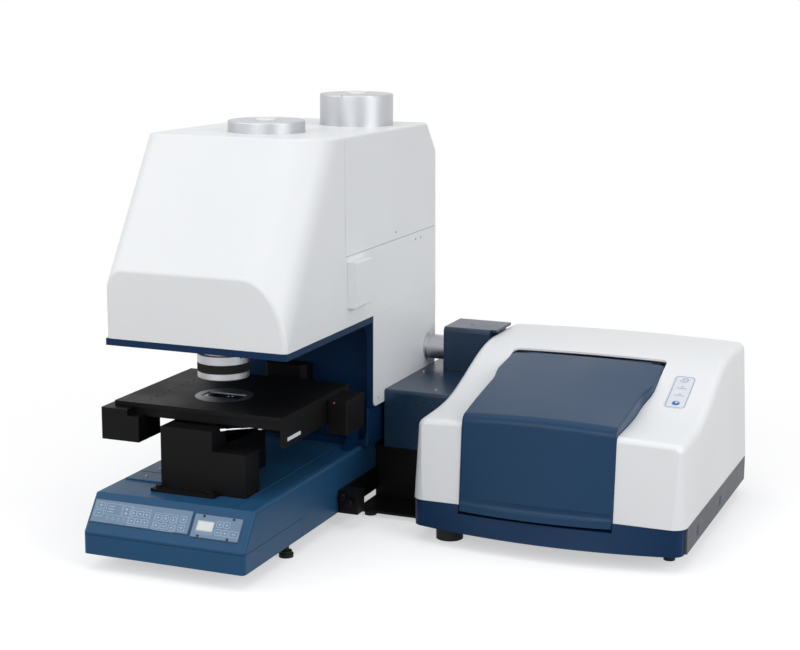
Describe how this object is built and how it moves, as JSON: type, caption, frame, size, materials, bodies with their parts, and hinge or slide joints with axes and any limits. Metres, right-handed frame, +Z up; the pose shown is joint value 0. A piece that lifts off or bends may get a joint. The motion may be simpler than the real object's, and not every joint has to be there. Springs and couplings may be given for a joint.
{
  "type": "ftir spectrometer with infrared microscope",
  "caption": "Bench infrared spectrometer with a hinged sample lid, joined by a beam interface to an infrared microscope with a moving stage.",
  "frame": {"origin": "on the table under the middle of the whole instrument", "axes": "+X to the spectrometer's side, +Y to the back, +Z up"},
  "size_m": [0.7596, 0.709, 0.604],
  "materials": {
    "white_paint": "satin",
    "white_shell": "satin",
    "blue_paint": "satin",
    "navy_shell": "satin",
    "grey_shell": "satin",
    "panel_film": "satin",
    "strip_film": "satin",
    "button": "gloss",
    "aluminium": "satin",
    "cap": "satin",
    "black_metal": "satin",
    "steel": "satin",
    "chrome": "polished",
    "rubber": "matt",
    "mirror": "polished",
    "board": "satin",
    "window": "gloss"
  },
  "bodies": {
    "chassis": {"base_housing": "blue_paint", "base_plate": "steel", "base_tray": "blue_paint", "beam_tube": "aluminium", "beamsplitter": "mirror", "bench_mirrors": "mirror", "column": "blue_paint", "column_panels": "white_paint", "condenser_cover": "black_metal", "condenser_housing": "black_metal", "control_strip": "strip_film", "detector": "steel", "dewar_front": "aluminium", "dewar_rear": "aluminium", "display_panel": "panel_film", "electronics": "board", "focus_guide": "steel", "folding_mirrors": "mirror", "head_frame": "aluminium", "head_front_cover": "white_paint", "head_rear_lower": "white_paint", "head_rear_upper": "white_paint", "head_tray": "blue_paint", "interface_low_box": "blue_paint", "interface_stand": "black_metal", "interface_tall_box": "blue_paint", "ir_source": "steel", "key_panel": "panel_film", "laser": "steel", "levelling_feet": "steel", "mirror_guide": "steel", "objective_barrel": "aluminium", "objective_mirrors": "mirror", "optical_bench": "aluminium", "rear_panel": "steel", "sample_holder": "aluminium", "sample_tub": "black_metal", "side_skirts": "grey_shell", "skirt_plugs": "blue_paint", "spec_base": "blue_paint", "spec_cover": "white_shell", "spec_feet": "rubber"},
    "lid": {"compartment_lid": "navy_shell"},
    "power_button": {"power_button": "button"},
    "start_button": {"start_button": "button"},
    "mirror_carriage": {"moving_mirror": "aluminium"},
    "focus": {"stage_fork": "black_metal"},
    "stage_y": {"stage_frame": "black_metal", "stage_drive_left": "black_metal", "stage_drive_right": "black_metal"},
    "stage_x": {"stage_plate": "black_metal", "sample_insert": "steel", "sample_window": "window"},
    "lever": {"stage_lever": "chrome"},
    "correction_ring": {"objective_ring": "chrome", "objective_grip": "rubber"},
    "front_cap": {"dewar_front_cap": "cap"},
    "rear_cap": {"dewar_rear_cap": "cap"},
    "slot": {"slot_cover": "white_paint"},
    "condenser": {"condenser": "black_metal"}
  },
  "joints": [
    {"name": "lid_hinge", "type": "hinge", "parent": "chassis", "child": "lid", "pos_m": [0.1743, 0.18, 0.223], "axis": [-1, 0, 0], "range_deg": [0, 80]},
    {"name": "power_press", "type": "slide", "parent": "chassis", "child": "power_button", "axis": [-0.0313, 0.3709, -0.9282], "range_m": [0, 0.001], "stiffness_N_per_m": 400, "springref_m": -0.001},
    {"name": "start_press", "type": "slide", "parent": "chassis", "child": "start_button", "axis": [-0.032, 0.3201, -0.9468], "range_m": [0, 0.001], "stiffness_N_per_m": 400, "springref_m": -0.001},
    {"name": "mirror_scan", "type": "slide", "parent": "chassis", "child": "mirror_carriage", "axis": [1, 0, 0], "range_m": [-0.012, 0.012]},
    {"name": "stage_focus", "type": "slide", "parent": "chassis", "child": "focus", "axis": [0, 0, 1], "range_m": [-0.003, 0.02]},
    {"name": "stage_move_y", "type": "slide", "parent": "focus", "child": "stage_y", "axis": [0, 1, 0], "range_m": [-0.02, 0.02]},
    {"name": "stage_move_x", "type": "slide", "parent": "stage_y", "child": "stage_x", "axis": [1, 0, 0], "range_m": [-0.025, 0.025]},
    {"name": "lever_swing", "type": "hinge", "parent": "stage_y", "child": "lever", "pos_m": [-0.1612, -0.2255, 0.1837], "axis": [0, 0, 1], "range_deg": [0, 40]},
    {"name": "correction_turn", "type": "hinge", "parent": "chassis", "child": "correction_ring", "pos_m": [-0.2452, -0.1685, 0.255], "axis": [0, 0, 1], "range_deg": [-60, 60]},
    {"name": "front_cap_lift", "type": "slide", "parent": "chassis", "child": "front_cap", "axis": [0, 0, 1], "range_m": [0, 0.06]},
    {"name": "rear_cap_lift", "type": "slide", "parent": "chassis", "child": "rear_cap", "axis": [0, 0, 1], "range_m": [0, 0.06]},
    {"name": "slot_pull", "type": "slide", "parent": "chassis", "child": "slot", "axis": [1, 0, 0], "range_m": [0, 0.05]},
    {"name": "condenser_focus", "type": "slide", "parent": "chassis", "child": "condenser", "axis": [0, 0, 1], "range_m": [-0.006, 0.005]}
  ]
}
